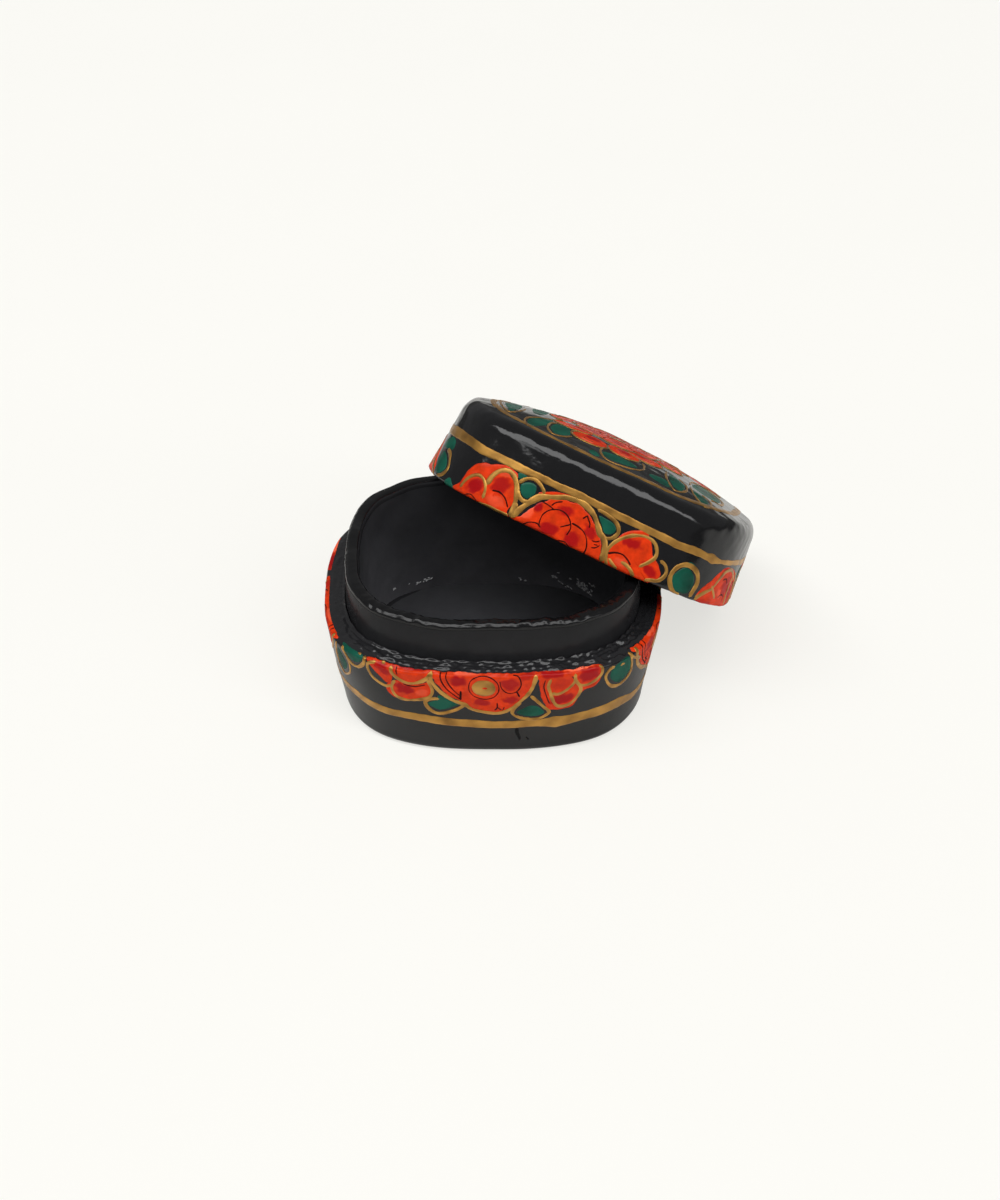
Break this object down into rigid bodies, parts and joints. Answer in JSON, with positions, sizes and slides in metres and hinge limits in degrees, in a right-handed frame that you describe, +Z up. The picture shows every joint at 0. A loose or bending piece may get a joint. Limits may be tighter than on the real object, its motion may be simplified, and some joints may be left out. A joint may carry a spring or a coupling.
{
  "type": "papier-mache box",
  "caption": "Small lift-off-lid papier-mache box with a glued collar, black lacquer and painted flowers, lid lying askew on the open base.",
  "frame": {"origin": "centre of the base's flat underside, where the box stands on the table", "axes": "+Z up out of the base's mouth, X and Y across the flats of the base's rounded-square plan; the lid leans towards +X +Y"},
  "size_m": [0.0985, 0.099, 0.0592],
  "materials": {
    "base_lacquer": "gloss",
    "collar_lacquer": "satin",
    "lid_lacquer": "gloss"
  },
  "bodies": {
    "base": {"base_shell": "base_lacquer", "collar_strip": "collar_lacquer"},
    "lid": {"lid_shell": "lid_lacquer"}
  },
  "joints": [
    {"name": "lid_lift", "type": "slide", "parent": "base", "child": "lid", "axis": [0, 0, 1], "range_m": [0, 0.06]}
  ]
}
